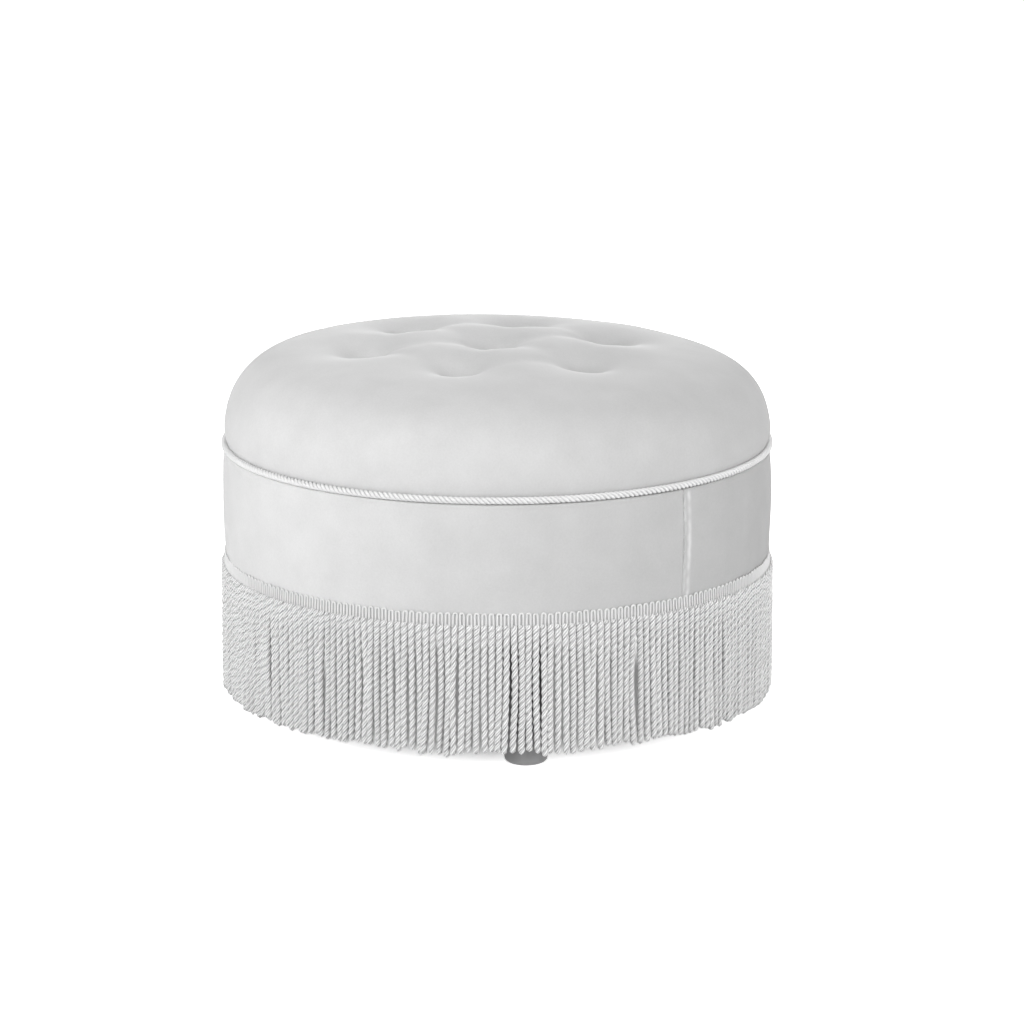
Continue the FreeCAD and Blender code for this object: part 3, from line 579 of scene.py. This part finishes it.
def stretch_cover(piece, at_rest, most_move, pressure, frames):
    """Lets the velvet settle as cloth under the foam's push, held at the tufts and at the seam. Each
    point's step is evened out with its neighbours' eight times, as the wadding does, made less towards
    the tufts, and then capped."""
    away = np.hypot(at_rest[:, None, 0] - tuft_places[:, 0], at_rest[:, None, 1] - tuft_places[:, 1]).min(1)
    fast = (away < tuft_grip) | (at_rest[:, 2] < deck_top + seam_grip)
    held = piece.vertex_groups.new(name="held")
    held.add([int(k) for k in np.flatnonzero(fast)], 1.0, "REPLACE")
    cloth = piece.modifiers.new("cloth", "CLOTH")
    cloth.settings.vertex_group_mass = "held"
    cloth.settings.use_pressure = True
    cloth.settings.uniform_pressure_force = pressure
    cloth.settings.effector_weights.gravity = 0.0
    cloth.settings.quality = 6
    cloth.settings.mass = 0.3
    cloth.settings.tension_stiffness = 25.0
    cloth.settings.compression_stiffness = 25.0
    cloth.settings.shear_stiffness = 8.0
    cloth.settings.bending_stiffness = 4.0
    cloth.settings.air_damping = 5.0
    cloth.collision_settings.use_collision = False
    scene = bpy.context.scene
    for number in range(1, frames + 1):
        scene.frame_set(number)
    shown = piece.evaluated_get(bpy.context.evaluated_depsgraph_get())
    moved = np.empty(len(at_rest) * 3, np.float32)
    shown.data.vertices.foreach_get("co", moved)
    moved = moved.reshape(-1, 3)
    piece.modifiers.remove(cloth)
    piece.vertex_groups.remove(held)
    scene.frame_set(1)
    step = (moved - at_rest).reshape(cover_cells + 1, cover_cells + 1, 3)
    for _ in range(8):
        step[1:-1, 1:-1] = (step[:-2, 1:-1] + step[2:, 1:-1] + step[1:-1, :-2] + step[1:-1, 2:]) / 4
    step = step.reshape(-1, 3) * np.clip((away - tuft_grip) / tuft_ease, 0, 1)[:, None]
    size = np.linalg.norm(step, axis=1, keepdims=True)
    step *= np.minimum(1, most_move / np.maximum(size, 1e-9))
    piece.data.vertices.foreach_set("co", (at_rest + step).astype(np.float32).ravel())
    piece.data.update()
    return float(size.max())


print("the velvet moved by", stretch_cover(cover, cover_points, most_move=0.003, pressure=4.0, frames=20))
solid_cloth(cover, cover_thickness)

# Side band. Two panels of the same velvet, pulled round the side foam and stapled under the base. They
# meet in two upright seams, each lapped and topstitched, so that it stands a little proud.

band_low, band_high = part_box("band_panel_back")
band_bottom = band_low.z
band_top = band_high.z
base_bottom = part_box("base_board")[0].z
band_thickness = 0.0012
band_low_radius = 0.2991
band_bulge = 0.0029
band_bulge_height = 0.072
band_top_radius = 0.3010
band_rounding = 0.003
flange_inner_radius = band_top_radius - 0.0045
return_inner_radius = band_low_radius - 0.023
seam_lap = 0.0012                       # how far a panel's end laps over the one before
seam_width = 0.0075
seam_stand = 0.0004
stitch_pitch = 0.0042
seam_turn = math.radians(-10.9)
seam_turns = (seam_turn, seam_turn + math.pi)


def band_outline(across):
    """Radius and height of the band's outer face along its cut width, from the flange's inner edge, over
    the round at the top, down the bulged side and in along the return under the base board."""
    corner_r, corner_z = band_top_radius - band_rounding, band_top - band_rounding
    side = np.linspace(0, 1, 44)
    drop = corner_z - base_bottom
    bulge_share = band_bulge_height / drop
    low_term = band_bulge / (bulge_share * (1 - bulge_share))
    side_r = (band_low_radius + (band_top_radius - band_low_radius) * side
              + (low_term - (band_top_radius - band_low_radius) / (1 - bulge_share)) * side * (1 - side))
    bend = np.linspace(0, np.pi / 2, 6)
    radius = np.concatenate([
        [flange_inner_radius], corner_r + band_rounding * np.sin(bend), side_r[::-1][1:],
        [band_low_radius - 0.0006], np.linspace(band_low_radius - 0.0015, return_inner_radius, 5)])
    height = np.concatenate([
        [band_top], corner_z + band_rounding * np.cos(bend), (base_bottom + drop * side)[::-1][1:],
        [band_bottom + 0.0003], np.full(5, band_bottom)])
    along = np.concatenate([[0], np.cumsum(np.hypot(np.diff(radius), np.diff(height)))])
    place = across * along[-1]
    return np.interp(place, along, radius), np.interp(place, along, height), along[-1]


# The same velvet as the seat's, drawn a shade darker for the upright band, painted shade, and with painted
# side light of 25 per cent either way
band_velvet = velvet("pale_grey_band_velvet", "#bbbbbb", "#c9c9c9", "#dcdcdc", 0.25)


def band_panel(name, start, node, columns=420, rows=90):
    """One panel: the outline carried half round the drum. Low waves stand for the hand of the velvet. It
    laps over the other panel's end by a millimetre and stands there as a low welt, with a painted highlight
    along both edges and a paler line of stitches sunk near the lapped one, and small puckers run off it."""
    across = np.linspace(0, 1, rows)[:, None]
    half_turn = np.linspace(0, 1, columns)
    ease = half_turn + 0.8 * np.sin(2 * np.pi * half_turn) / (2 * np.pi)
    first = start - seam_lap / band_low_radius
    turn = (first + (start + np.pi - first) * (1 - ease))[None, :]
    radius, height, width = band_outline(across)
    on_side = np.clip((height - base_bottom) / 0.012, 0, 1) * np.clip((band_top - height) / 0.006, 0, 1)
    waves = (0.00035 * np.sin(9 * turn + 14 * height) + 0.00025 * np.sin(23 * turn - 31 * height)
             + 0.0002 * np.sin(41 * turn + 60 * height))
    pinch = 0.0007 * np.exp(-((height - band_top) / 0.012) ** 2)
    away = (turn - start) * band_low_radius
    away = away - 0.0004 * np.sin(height * 90) - 0.0002 * np.sin(height * 410)
    welt = 1 / (1 + np.exp((away - seam_width + 0.001) / 0.0006))
    stitch = 0.6 + 0.4 * np.sin(height * 2 * np.pi / stitch_pitch)
    stitch = np.exp(-((away - 0.0012) / 0.0007) ** 2) * stitch
    pucker = 0.0005 * np.exp(-np.abs(away) / 0.02) * np.sin(height * 2 * np.pi / 0.016)
    radius = radius + on_side * (waves - pinch + pucker + seam_stand * welt - 0.0002 * stitch)
    # Painted highlight along both edges of the welt, and paler stitches, as a per-point share that the velvet
    # reads
    highlight_and_stitch = on_side * (0.7 * np.exp(-((away + 0.0002) / 0.0010) ** 2) + 0.35 * stitch
                       + 0.75 * np.exp(-((away - seam_width + 0.0010) / 0.0009) ** 2))
    turn = turn + 0 * radius
    points = np.stack([radius * np.cos(turn), radius * np.sin(turn), height + 0 * turn], -1)
    piece = mesh_piece(name, points.reshape(-1, 3), [grid_faces(rows, columns)], band_velvet, highlight_and_stitch=highlight_and_stitch)
    solid_cloth(piece, band_thickness)
    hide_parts(node)


band_panel("velvet_band_back", seam_turns[0], "band_panel_back")
band_panel("velvet_band_front", seam_turns[1], "band_panel_front")

# Tack strip and lip. A strip of dense card keeps the band's top edge straight, and a flat cotton tape
# carries the trim cord in the seam. Both are out of sight.

card = blank_material("dense_fibre_card")
tree = card.node_tree
place = add(tree, "ShaderNodeTexCoord").outputs["Object"]
fibre, shade = mottle(tree, place, 2.5, "#a98a63", "#bea27c", detail=6.0)
principled(tree, shade, 0.85, bump_of(tree, fibre.outputs[0], 0.08))
dressed(card, "tack_strip")

tape = blank_material("flat_cotton_tape")
tree = tape.node_tree
place = add(tree, "ShaderNodeTexCoord").outputs["Object"]
weave, shade = mottle(tree, place, 1.0, "#c9c9c7", "#dcdcda", stretch=(1, 1, 0.4))
principled(tree, shade, 0.9, bump_of(tree, weave.outputs[0], 0.15))
dressed(tape, "cord_lip")

# Trim cord. Three strands of satin rayon yarn laid right-handed into one cord, which sits in the seam
# between the seat and the band.

cord_low, cord_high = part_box("trim_cord")
cord_radius = (cord_high.z - cord_low.z) / 2
cord_ring = cord_high.x - cord_radius
cord_z = (cord_low.z + cord_high.z) / 2
cord_strands = 3
cord_pitch = 0.0165
strand_radius = 0.475 * cord_radius
strand_offset = cord_radius - strand_radius


def satin_yarn(name, dark, light, plies, slant, ply_depth_mm, painted_groove_shade, painted_crease_shade=1.0):
    """Bright rayon yarn: its plies run along each strand as fine ridges that catch the light, with painted
    shade in the grooves between them. U is the share round the cord and V counts turns along it; so many
    plies cross a ring, and so many a turn. Where a cord's two lobes meet, at U plus V of a quarter turn,
    painted shade darkens it."""
    material = blank_material(name)
    tree = material.node_tree
    where = add(tree, "ShaderNodeTexCoord")
    flat = add(tree, "ShaderNodeSeparateXYZ", {0: where.outputs["UV"]})
    whole = 2 * math.pi
    round_it = add(tree, "ShaderNodeMath", {0: flat.outputs["X"], 1: plies * whole}, operation="MULTIPLY")
    along = add(tree, "ShaderNodeMath", {0: flat.outputs["Y"], 1: slant * whole, 2: round_it.outputs[0]},
                operation="MULTIPLY_ADD")
    ply = add(tree, "ShaderNodeMath", {0: along.outputs[0]}, operation="SINE")
    noise, shade = mottle(tree, where.outputs["Object"], 7.0, dark, light, detail=4.0)
    # Painted shade: the colour is darker in the grooves between plies, and again where the two lobes meet
    valley = add(tree, "ShaderNodeMapRange", {"Value": ply.outputs[0], "From Min": -1.0, "From Max": 0.6,
                                              "To Min": painted_groove_shade, "To Max": 1.0})
    shade = add(tree, "ShaderNodeMix", {"Factor": 1.0, "A": shade, "B": valley.outputs[0]},
                data_type="RGBA", blend_type="MULTIPLY")
    both = add(tree, "ShaderNodeMath", {0: flat.outputs["X"], 1: flat.outputs["Y"]}, operation="ADD")
    lobe = add(tree, "ShaderNodeMath", {0: both.outputs[0], 1: whole}, operation="MULTIPLY")
    lobe = add(tree, "ShaderNodeMath", {0: lobe.outputs[0]}, operation="COSINE")
    lobe = add(tree, "ShaderNodeMath", {0: lobe.outputs[0]}, operation="ABSOLUTE")
    crease = add(tree, "ShaderNodeMapRange", {"Value": lobe.outputs[0], "From Max": 0.5,
                                              "To Min": painted_crease_shade, "To Max": 1.0})
    shade = add(tree, "ShaderNodeMix", {"Factor": 1.0, "A": shade.outputs[2], "B": crease.outputs[0]},
                data_type="RGBA", blend_type="MULTIPLY")
    height = add(tree, "ShaderNodeMath", {0: noise.outputs[0], 1: 0.5, 2: ply.outputs[0]},
                 operation="MULTIPLY_ADD")
    principled(tree, shade.outputs[2], 0.42, bump_of(tree, height.outputs[0], ply_depth_mm),
               Sheen_Weight=0.25, Sheen_Roughness=0.4, Specular_IOR_Level=0.5)
    return material


# On the trim cord and the loops a single ply darkens the sides of each strand, painted shade between them
cord_yarn = satin_yarn("satin_rayon_cord", "#d6d6d6", "#e0e0e0", 1, 0, 0.0, 0.42)


def tube_rings(centre, side, rise, radii, sides):
    """Rings of points round a path: centre plus the side and rise directions times cosine and sine."""
    turn = np.linspace(0, 2 * np.pi, sides, endpoint=False)
    return centre[..., None, :] + radii[..., None, None] * (
        side[..., None, :] * np.cos(turn)[:, None] + rise[..., None, :] * np.sin(turn)[:, None])


def ring_rope(name, ring_radius, z, offset, radius, turns, strands, material, per_turn=12, sides=8):
    """Strands laid round a circle: each is a tube along a helix whose axis is the circle, and which falls
    to the right on its outer side."""
    steps = turns * per_turn
    along = np.arange(steps) / steps * 2 * np.pi
    all_points, all_faces, all_uv = [], [], []
    for strand in range(strands):
        lay = 2 * np.pi * strand / strands - along * turns
        out = np.stack([np.cos(along), np.sin(along), 0 * along], -1)
        up = np.array([0.0, 0.0, 1.0])
        centre = (ring_radius + offset * np.cos(lay))[:, None] * out
        centre = centre + (z + offset * np.sin(lay))[:, None] * up
        away = np.cos(lay)[:, None] * out + np.sin(lay)[:, None] * up
        tangent = np.gradient(centre, axis=0)
        tangent[0], tangent[-1] = centre[1] - centre[-1], centre[0] - centre[-2]
        tangent /= np.linalg.norm(tangent, axis=1, keepdims=True)
        side = away - (away * tangent).sum(1, keepdims=True) * tangent
        side /= np.linalg.norm(side, axis=1, keepdims=True)
        rise = np.cross(tangent, side)
        rings = tube_rings(centre, side, rise, np.full(steps, radius), sides)
        all_points.append(rings.reshape(-1, 3))
        all_faces.append(grid_faces(steps, sides, True, True, strand * steps * sides))
        flat = np.stack(np.broadcast_arrays(np.arange(sides)[None, :] / sides + 0.25,
                                            (along * turns / 2 / np.pi)[:, None]), -1)
        all_uv.append(flat.reshape(-1, 2))
    return mesh_piece(name, np.concatenate(all_points), all_faces, material, np.concatenate(all_uv))


cord_turns = round(2 * math.pi * cord_ring / cord_pitch)
cord_piece = ring_rope("trim_cord_twisted", cord_ring, cord_z, strand_offset, strand_radius, cord_turns,
                       cord_strands, cord_yarn)
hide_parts("trim_cord")

# Fringe header. A narrow woven strip, glued and sewn to the band's lower edge. Along its top the yarn
# returns in small upright loops, one to each hanging cord.

header_low, header_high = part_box("fringe_header")
header_height = header_high.z - header_low.z
header_foot_inner = 0.2994
header_foot_outer = 0.3016
header_top_inner = 0.3003
header_top_outer = header_high.x
loop_count = 246
loop_radius = 0.0020
loop_wire = 0.00122
loop_foot_z = header_low.z + 0.0004
loop_bend_z = header_high.z - loop_radius - loop_wire
strip_top_z = loop_bend_z + 0.0004
header_loop_yarn = satin_yarn("satin_rayon_loops", "#cecece", "#d8d8d8", 1, 0, 0.0, 0.6)

# The strip's yarn is drawn darker than the loops', painted shade where it shows between them
header_yarn = satin_yarn("satin_rayon_header", "#bcbcbc", "#c8c8c8", 492, 0, 0.10, 0.85)


def header_face(z):
    """The radius of the header's outer face at a height: it leans out a little with the band."""
    share = (z - header_low.z) / header_height
    return header_foot_outer + (header_top_outer - header_foot_outer - 0.0011) * share


def header_strip(columns=1024, rows=22):
    """The strip behind the loops: a thin flat ring whose outer face has five woven ribs round it."""
    z = np.linspace(header_low.z, strip_top_z, rows)
    ribs = 0.0006 * np.abs(np.sin(np.pi * (z - header_low.z) / 0.0024))
    outer = header_face(z) - 0.0010 + ribs
    inner = header_foot_inner + (header_top_inner - header_foot_inner) * (z - header_low.z) / header_height
    radius = np.concatenate([outer, inner[::-1]])[:, None]
    height = np.concatenate([z, z[::-1]])[:, None]
    turn = np.linspace(0, 2 * np.pi, columns, endpoint=False)[None, :]
    warp = 0.00012 * np.cos(turn * loop_count * 2)
    radius = radius + np.concatenate([np.ones(rows), np.zeros(rows)])[:, None] * warp
    points = np.stack([radius * np.cos(turn), radius * np.sin(turn), height + 0 * turn], -1)
    flat = np.stack(np.broadcast_arrays(turn / 2 / np.pi, height / 0.0034), -1)
    faces = grid_faces(2 * rows, columns, True, True)[:, ::-1]
    return points.reshape(-1, 3), faces, flat.reshape(-1, 2)


def header_loops():
    """An upright loop of round yarn for each cord: up one side, round a half circle and down the other."""
    bend = np.linspace(np.pi, 0, 7)
    x = np.concatenate([[-loop_radius] * 2, loop_radius * np.cos(bend), [loop_radius] * 2])
    halfway = (loop_foot_z + loop_bend_z) / 2
    z = np.concatenate([[loop_foot_z, halfway], loop_bend_z + loop_radius * np.sin(bend),
                        [halfway, loop_foot_z]])
    sides = 6
    step_x, step_z = np.gradient(x), np.gradient(z)
    size = np.hypot(step_x, step_z)
    normal_x, normal_z = step_z / size, -step_x / size
    turn = np.linspace(0, 2 * np.pi, sides, endpoint=False)
    sway = np.random.default_rng(11).normal(0, 1, (loop_count, 3))
    lean = 0.00025 * sway[:, 0, None, None]
    tall = 1 + 0.035 * sway[:, 1, None, None]
    ring_x = x[:, None] + loop_wire * np.cos(turn) * normal_x[:, None]
    ring_z = z[:, None] + loop_wire * np.cos(turn) * normal_z[:, None]
    ring_out = loop_wire * np.sin(turn) + 0 * ring_x
    share = (ring_z - loop_foot_z) / header_height
    height = loop_foot_z + (ring_z - loop_foot_z) * np.minimum(tall, 1.03)
    about = (np.arange(loop_count) * 2 * np.pi / loop_count)[:, None, None]
    radius = header_face(height) + ring_out - 0.0003
    angle = about + (ring_x + lean * share) / header_foot_outer
    points = np.stack([radius * np.cos(angle), radius * np.sin(angle), height + 0 * angle], -1)
    faces = grid_faces(len(x), sides, closed_columns=True)
    faces = faces[None] + (np.arange(loop_count) * len(x) * sides)[:, None, None]
    along = np.concatenate([[0], np.cumsum(np.hypot(np.diff(x), np.diff(z)))]) / cord_pitch
    flat = np.stack(np.broadcast_arrays((np.arange(sides) / sides)[None, None, :], along[None, :, None],
                                        np.zeros((loop_count, 1, 1)))[:2], -1)
    return points.reshape(-1, 3), faces.reshape(-1, 4), flat.reshape(-1, 2)


strip_points, strip_faces, strip_uv = header_strip()
header_piece = mesh_piece("header_strip", strip_points, [strip_faces], header_yarn, strip_uv)
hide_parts("fringe_header")
loop_points, loop_faces, loop_uv = header_loops()
loops_piece = mesh_piece("header_loops", loop_points, [loop_faces], header_loop_yarn, loop_uv)

# Bullion fringe. Each hanging cord is one long yarn folded in half and twisted on itself, so it ends in
# a rounded fold. They hang close, lean on each other, part here and there and end a little unevenly.

fringe_cord_radius = 0.0039
fringe_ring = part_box("bullion_fringe")[1].x - 0.0034
fringe_count = loop_count
fringe_top = header_low.z + 0.0022      # a little above the header's lower edge
fringe_length = 0.1412
most_parting = 0.0016                   # cords that would part by more are drawn together again
bullion_pitch = 0.0168
bullion_rings = 64
bullion_sides = 12
lobe_waist = 0.40                       # how far a cord narrows across its two lobes,
lobe_start = 0.006                      # from this far down,
lobe_grow = 0.020                       # and in full this much further
cord_neck = 0.0025                      # the rounding of a cord's top

bullion_yarn = satin_yarn("satin_rayon_bullion", "#f4f4f4", "#fafafa", 7, 4.5, 0.45, 0.58, 0.46)


def smooth_noise(draw, count, waves):
    """A smooth closed random curve round the stool: a sum of a few sines with random size and phase."""
    turn = np.arange(count) * 2 * np.pi / count
    size = draw.normal(0, 1, waves) / np.sqrt(np.arange(1, waves + 1))
    phase = draw.uniform(0, 2 * np.pi, waves)
    curve = (size[:, None] * np.sin(np.arange(1, waves + 1)[:, None] * turn + phase[:, None])).sum(0)
    return curve / curve.std()


def bullion_cords():
    """Every cord as rings down a slightly bent line. A ring is two lobes, and turns as it goes down, and
    the last rings close in to a rounded end."""
    draw = np.random.default_rng(5)
    number = np.arange(fringe_count)
    about = number * 2 * np.pi / fringe_count
    length = fringe_length + 0.0014 * smooth_noise(draw, fringe_count, 60)
    length = length + draw.normal(0, 0.0016, fringe_count)
    lean = 0.0016 * smooth_noise(draw, fringe_count, 70) + draw.normal(0, 0.0014, fringe_count)
    for _ in range(4):
        excess = np.clip(np.roll(lean, -1) - lean - most_parting, 0, None) / 2
        lean = lean + excess - np.roll(excess, 1)
    bow = draw.normal(0, 0.0007, fringe_count)
    outward = np.clip(draw.normal(0.0, 0.0011, fringe_count) + 0.0008 * smooth_noise(draw, fringe_count, 40),
                      -0.004, 0.0022)
    pitch = bullion_pitch * (1 + 0.07 * draw.normal(0, 1, fringe_count))
    phase = draw.uniform(0, 2 * np.pi, fringe_count)
    fat = fringe_cord_radius * (1 + 0.03 * draw.normal(0, 1, fringe_count))
    down = np.linspace(0, 1, bullion_rings)[None, :]
    drop = length[:, None] * down
    sideways = lean[:, None] * down ** 1.8 + 1.5 * bow[:, None] * np.sin(np.pi * down) ** 2
    out = outward[:, None] * down ** 1.2 + 0.0006 * np.sin(np.pi * down)
    left = length[:, None] - drop
    round_end = np.sqrt(np.clip(1 - (1 - np.clip(left / fringe_cord_radius, 0, 1)) ** 2, 0.004, 1))
    neck = np.sqrt(np.clip(1 - (1 - np.clip(drop / cord_neck, 0, 1)) ** 2, 0.15, 1))
    size = fat[:, None] * round_end * neck
    turn = np.linspace(0, 2 * np.pi, bullion_sides, endpoint=False)[None, None, :]
    lay = phase[:, None, None] - 2 * np.pi * (drop / pitch[:, None])[..., None]
    waist = (lobe_waist * np.clip((drop - lobe_start) / lobe_grow, 0, 1))[..., None]
    lobes = 1.04 - waist + (waist - 0.04) * np.abs(np.cos(turn - lay))
    reach = size[..., None] * lobes
    radius = fringe_ring + out[..., None] + reach * np.cos(turn)
    angle = about[:, None, None] + (sideways[..., None] + reach * np.sin(turn)) / fringe_ring
    height = fringe_top - drop[..., None] + 0 * turn
    points = np.stack([radius * np.cos(angle), radius * np.sin(angle), height], -1)
    flat = np.stack(np.broadcast_arrays(turn / (2 * np.pi), -lay / (2 * np.pi)), -1)
    return points, flat


def bullion_group(name, points, flat):
    """The cords of one stretch of the fringe as one piece, each closed at both ends by a flat face."""
    count = len(points)
    ring = bullion_rings * bullion_sides
    faces = grid_faces(bullion_rings, bullion_sides, closed_columns=True)
    caps = np.stack([np.arange(bullion_sides), (bullion_rings - 1) * bullion_sides
                     + np.arange(bullion_sides)[::-1]])
    shift = (np.arange(count) * ring)[:, None, None]
    faces = (faces[None] + shift).reshape(-1, 4)[:, ::-1]
    caps = (caps[None] + shift).reshape(-1, bullion_sides)
    piece = mesh_piece(name, points.reshape(-1, 3), [faces, caps], bullion_yarn, flat.reshape(-1, 2))
    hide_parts("bullion_fringe")


cord_points, cord_uv = bullion_cords()
for name, chosen in zip(("right", "back", "left", "front"), np.array_split(np.arange(fringe_count), 4)):
    chosen = (chosen - fringe_count // 8) % fringe_count
    bullion_group("bullion_fringe_" + name, cord_points[chosen], cord_uv[chosen])
